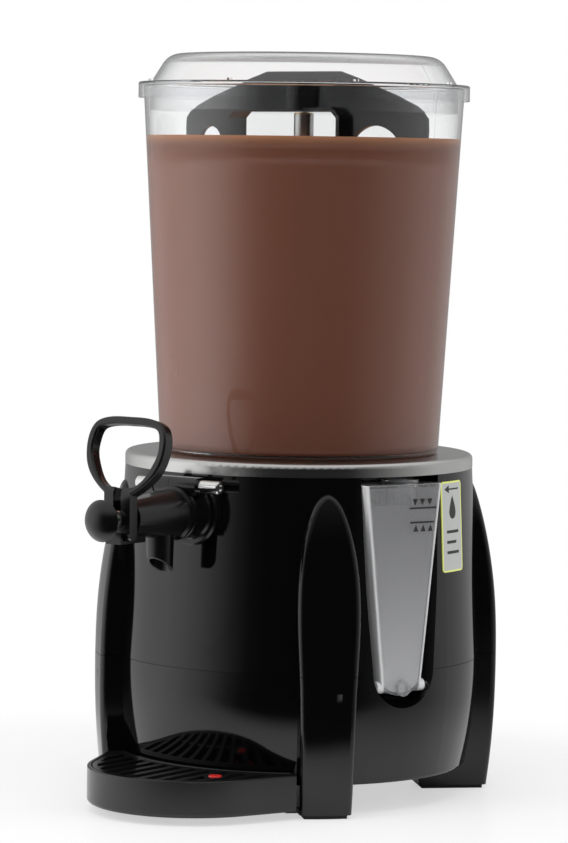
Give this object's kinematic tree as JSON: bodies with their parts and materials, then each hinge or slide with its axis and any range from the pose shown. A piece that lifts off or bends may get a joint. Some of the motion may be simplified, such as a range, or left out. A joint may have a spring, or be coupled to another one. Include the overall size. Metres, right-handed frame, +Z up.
{
  "type": "hot chocolate dispenser",
  "caption": "Counter-top hot chocolate dispenser: gloss-black legged body, steel deck, clear bowl with stirring paddle, loop-handled tap, tilting water hopper and drip tray",
  "frame": {"origin": "on the floor, under the middle of the machine's bounding box", "axes": "+Z up; -Y towards the tap and the user; +X to the right of someone facing the tap"},
  "size_m": [0.2876, 0.4018, 0.58],
  "materials": {
    "gloss_black": "polished gloss black, scratch-free",
    "satin_black": "satin black moulded plastic",
    "tray_black": "satin black, slightly soft sheen",
    "clear_bowl": "clear polycarbonate",
    "clear_lid": "clear polycarbonate",
    "clear_hopper": "clear polycarbonate, a little smoky",
    "stainless": "brushed stainless steel",
    "bright_steel": "ground and polished steel",
    "zinc_steel": "zinc-plated steel",
    "heater_sheath": "annealed stainless sheath",
    "brass_bush": "turned bronze-coloured bush",
    "food_rubber": "black silicone rubber",
    "hose_rubber": "translucent grey silicone",
    "foot_rubber": "black rubber",
    "float_red": "red moulded plastic",
    "gear_nylon": "natural white nylon",
    "motor_case": "dark grey enamel",
    "label_grey": "printed grey plate with a yellow-green edge",
    "rocker_green": "translucent green key",
    "lamp_orange": "amber lens"
  },
  "bodies": {
    "base": {"upper_housing": "gloss_black", "lower_housing": "gloss_black", "housing_screws": "zinc_steel", "rubber_feet": "foot_rubber", "bottom_cover": "satin_black", "cover_screws": "zinc_steel", "steel_deck": "stainless", "deck_nuts": "zinc_steel", "food_well": "stainless", "outlet_pipe": "stainless", "water_bath": "stainless", "heating_element": "heater_sheath", "safety_cutout": "satin_black", "centre_tube": "stainless", "tube_seals": "food_rubber", "upper_bush": "brass_bush", "gear_case": "satin_black", "gear_cover": "satin_black", "lower_bush": "brass_bush", "gearbox_screws": "zinc_steel", "motor_mount": "zinc_steel", "motor": "motor_case", "tap_socket": "satin_black", "tap_barrel": "satin_black", "pipe_seal": "food_rubber", "tap_rod_gland": "satin_black", "tap_rod_seal": "food_rubber", "tap_spring": "bright_steel", "hopper_pivot_pins": "bright_steel", "hopper_hose": "hose_rubber", "side_label": "label_grey", "power_switch": "satin_black", "mixer_switch": "satin_black", "power_inlet": "satin_black", "bath_thermostat": "satin_black", "pilot_lamp": "lamp_orange"},
    "bowl": {"bowl": "clear_bowl", "bowl_gasket": "food_rubber"},
    "lid": {"lid": "clear_lid"},
    "agitator": {"agitator_paddle": "satin_black"},
    "shaft": {"drive_shaft": "bright_steel", "drive_gear": "gear_nylon"},
    "pinion": {"motor_pinion": "zinc_steel"},
    "handle": {"tap_handle": "satin_black"},
    "valve": {"tap_valve_rod": "bright_steel", "tap_valve_seal": "food_rubber", "tap_knob": "satin_black"},
    "tap_pin": {"tap_pin": "bright_steel"},
    "tray": {"drip_tray": "tray_black"},
    "grid": {"tray_grid": "tray_black"},
    "float": {"tray_float": "float_red"},
    "hopper": {"water_hopper": "clear_hopper", "hopper_drain_plug": "clear_hopper"},
    "cap": {"hopper_cap": "clear_hopper"},
    "dial": {"thermostat_knob": "satin_black", "thermostat_shaft": "bright_steel"},
    "power_key": {"power_rocker": "rocker_green"},
    "mixer_key": {"mixer_rocker": "satin_black"}
  },
  "joints": [
    {"name": "bowl_lift", "type": "slide", "parent": "base", "child": "bowl", "axis": [0, 0, 1], "range_m": [0, 0.08]},
    {"name": "lid_lift", "type": "slide", "parent": "bowl", "child": "lid", "axis": [0, 0, 1], "range_m": [0, 0.06]},
    {"name": "agitator_spin", "type": "hinge", "parent": "bowl", "child": "agitator", "pos_m": [0, 0.0571, 0.548], "axis": [0, 0, 1], "continuous": true},
    {"name": "shaft_spin", "type": "hinge", "parent": "base", "child": "shaft", "pos_m": [0, 0.0571, 0.3], "axis": [0, 0, 1], "continuous": true},
    {"name": "pinion_spin", "type": "hinge", "parent": "base", "child": "pinion", "pos_m": [0, 0.0931, 0.07], "axis": [0, 0, 1], "continuous": true},
    {"name": "tap_pull", "type": "hinge", "parent": "base", "child": "handle", "pos_m": [0, -0.1694, 0.2185], "axis": [1, 0, 0], "range_deg": [0, 30], "stiffness_Nm_per_rad": 0.6, "springref_deg": -5.73},
    {"name": "valve_stroke", "type": "slide", "parent": "base", "child": "valve", "axis": [0, -1, 0], "range_m": [0, 0.012], "deforming": ["tap_spring"]},
    {"name": "pin_pull", "type": "slide", "parent": "base", "child": "tap_pin", "axis": [-1, 0, 0], "range_m": [0, 0.07]},
    {"name": "tray_pull", "type": "slide", "parent": "base", "child": "tray", "axis": [0, -1, 0], "range_m": [0, 0.1]},
    {"name": "grid_lift", "type": "slide", "parent": "tray", "child": "grid", "axis": [0, 0, 1], "range_m": [0, 0.04]},
    {"name": "float_rise", "type": "slide", "parent": "tray", "child": "float", "axis": [0, 0, 1], "range_m": [0, 0.008]},
    {"name": "hopper_tilt", "type": "hinge", "parent": "base", "child": "hopper", "pos_m": [0.127, 0.01436, 0.097], "axis": [0.319, 0.9478, 0], "range_deg": [0, 14], "deforming": ["hopper_hose"]},
    {"name": "cap_turn", "type": "hinge", "parent": "hopper", "child": "cap", "pos_m": [0.11842, 0.02569, 0.252], "axis": [0, 0, 1], "range_deg": [0, 90]},
    {"name": "dial_turn", "type": "hinge", "parent": "base", "child": "dial", "pos_m": [0.036, 0.1971, 0.072], "axis": [0, 1, 0], "range_deg": [0, 270]},
    {"name": "power_tip", "type": "hinge", "parent": "base", "child": "power_key", "pos_m": [-0.008, 0.1862, 0.064], "axis": [1, 0, 0], "range_deg": [0, 14]},
    {"name": "mixer_tip", "type": "hinge", "parent": "base", "child": "mixer_key", "pos_m": [0.011, 0.1862, 0.064], "axis": [1, 0, 0], "range_deg": [0, 14]}
  ],
  "couplings": [
    {"joint": "shaft_spin", "follows": "agitator_spin", "ratio": 1},
    {"joint": "pinion_spin", "follows": "agitator_spin", "ratio": -3},
    {"joint": "valve_stroke", "follows": "tap_pull", "m_per_rad": 0.0216}
  ]
}
